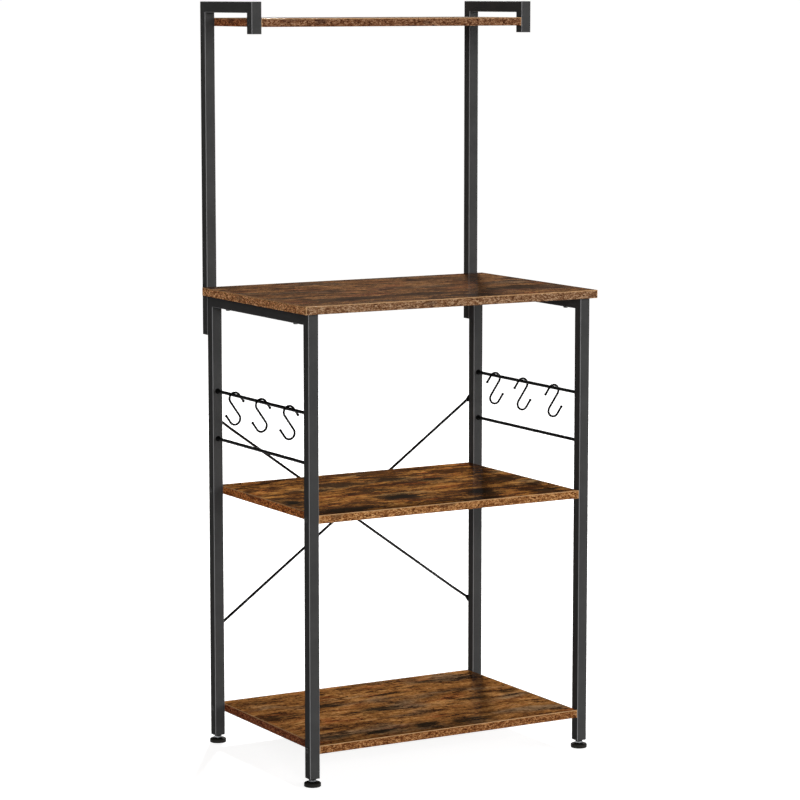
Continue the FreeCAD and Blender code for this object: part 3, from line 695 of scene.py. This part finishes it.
# %% [markdown]
# ## The studio
# The rack stands on a sheet of white paper that reaches to the horizon, before a white backdrop
# in a room that is otherwise dim. Light Path shows the white to the camera, to mirrors and to
# glass without adding light to the rack. Close to the rack the paper is a shade less than white
# by itself and the lamps make up the rest, so that a soft shadow stays. To the rays that carry
# light the paper is grey, or it would light the undersides from below. Mirrors see the backdrop
# as a low band. A board seen at a flat angle mirrors what is above that band, and white there
# would wash the brown out of the counter, so the room is dark and as warm as timber.

# %% The floor
WHITE = (1, 1, 1, 1)
FLOOR_RADIUS, FLOOR_CORNERS = 2000.0, 96
NEAR_WHITE, NEAR, FAR = 0.86, 0.8, 4.0  # the paper's own white near the rack, and metres out
PAPER_SHOWN, PAPER_LIT = (0.6, 0.6, 0.6, 1), (0.2, 0.2, 0.2, 1)  # to the camera, to light

bpy.ops.mesh.primitive_circle_add(vertices=FLOOR_CORNERS, radius=FLOOR_RADIUS, fill_type="NGON")
floor = bpy.context.object
floor.name = "floor"
paper, tree, shader, place = new_material("floor_paper")
path = add_node(tree, "LightPath").outputs
seen = calc(tree, "MAXIMUM", path["Is Camera Ray"], path["Is Glossy Ray"])
seen = calc(tree, "MAXIMUM", seen, path["Is Transmission Ray"])
white = span(tree, vector_calc(tree, "LENGTH", place), NEAR, FAR, NEAR_WHITE, 1.0)
shader.inputs["Specular IOR Level"].default_value = 0.0
shader.inputs["Emission Color"].default_value = WHITE
tree.links.new(calc(tree, "MULTIPLY", seen, white), shader.inputs["Emission Strength"])
tree.links.new(blend(tree, seen, PAPER_LIT, PAPER_SHOWN), shader.inputs["Base Color"])
floor.data.materials.append(paper)
floor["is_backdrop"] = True
print("floor", floor.dimensions.x, "m across")

# %% The room
ROOM_LIGHT, ROOM_COLOUR = 0.03, (1.0, 0.64, 0.38, 1)
BACKDROP_TOP = 0.03  # its height in a mirror, as the rise of a ray over its length

room = bpy.data.worlds.new("dim_room")
bpy.context.scene.world = room
room.use_nodes = True
tree = room.node_tree
air = next(item for item in tree.nodes if item.type == "BACKGROUND")
path = add_node(tree, "LightPath").outputs
direction = add_node(tree, "TexCoord").outputs["Generated"]
rise = add_node(tree, "SeparateXYZ", {0: direction}).outputs["Z"]
in_mirrors = calc(tree, "MULTIPLY", path["Is Glossy Ray"], span(tree, rise, BACKDROP_TOP, 0.0))
seen = calc(tree, "MAXIMUM", path["Is Camera Ray"], path["Is Transmission Ray"])
seen = calc(tree, "MAXIMUM", seen, in_mirrors)
tree.links.new(blend(tree, seen, ROOM_COLOUR, WHITE), air.inputs["Color"])
tree.links.new(span(tree, seen, 0.0, 1.0, ROOM_LIGHT, 1.0), air.inputs["Strength"])
bpy.context.scene.view_settings.view_transform = "Standard"
print("room", room.name)

# %% [markdown]
# ## Lamps
# Three large softboxes stand far off in front, one of them behind the camera. From so far they
# light the rack evenly from top to bottom, and they give the fronts of the tubes their full
# tone. The left sides get less of it, and that is what makes square tube look square. Weaker
# ones fill in from the left and the right, and a narrow beam picks out the arms of the hutch.
# The tops of the boards take their light from a small lamp high behind the rack, straight across
# from the camera. It is small on purpose: the rear legs then throw dark bands over the shelves
# towards the camera, as if the boards mirrored them, and it stands too high to glare on the
# boards. The others would glare in a view from behind, so glossy rays don't see them, much as a
# photographer's polariser takes a glare away.

# %% Softboxes
SOFTBOXES = {  # place, width and height in metres, watts
    "camera_light": ((-7.27, -17.99, 5.59), (8.0, 6.0), 1570),
    "front_light": ((0.0, -19.97, 1.80), (8.0, 2.0), 1020),
    "front_right_light": ((10.44, -16.70, 4.22), (8.0, 6.0), 1110),
    "right_light": ((3.2, -2.6, 1.4), (1.6, 1.6), 24),
    "left_light": ((-18.78, -6.84, 1.45), (6.0, 2.0), 200),
    "head_light": ((-4.0, 0.1, 2.1), (0.5, 0.5), 0.21),
    "back_light": ((1.98, 3.36, 3.96), (0.4, 0.4), 257),
}
AIM = Vector((0, 0, 0.75))
HEAD_AIM, HEAD_SPREAD = Vector((0, 0.1, 1.36)), math.radians(20)
for name, (place, (width, height), watts) in SOFTBOXES.items():
    bpy.ops.object.light_add(type="AREA", location=place)
    lamp = bpy.context.object
    lamp.name = name
    aim = AIM
    if name == "head_light":
        aim, lamp.data.spread = HEAD_AIM, HEAD_SPREAD
    lamp.rotation_euler = (aim - Vector(place)).to_track_quat("-Z", "Y").to_euler()
    lamp.data.shape, lamp.data.energy = "RECTANGLE", watts
    lamp.data.size, lamp.data.size_y = width, height
    lamp.visible_camera, lamp.visible_glossy = False, name == "back_light"
print(len(SOFTBOXES), "softboxes")

# %% [markdown]
# ## The size of the dressed rack
# The dressed rack must not outgrow its solids, so the box around all it shows is printed.

# %% Print the size of the dressed rack
low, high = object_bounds()
print("visual box", high - low)
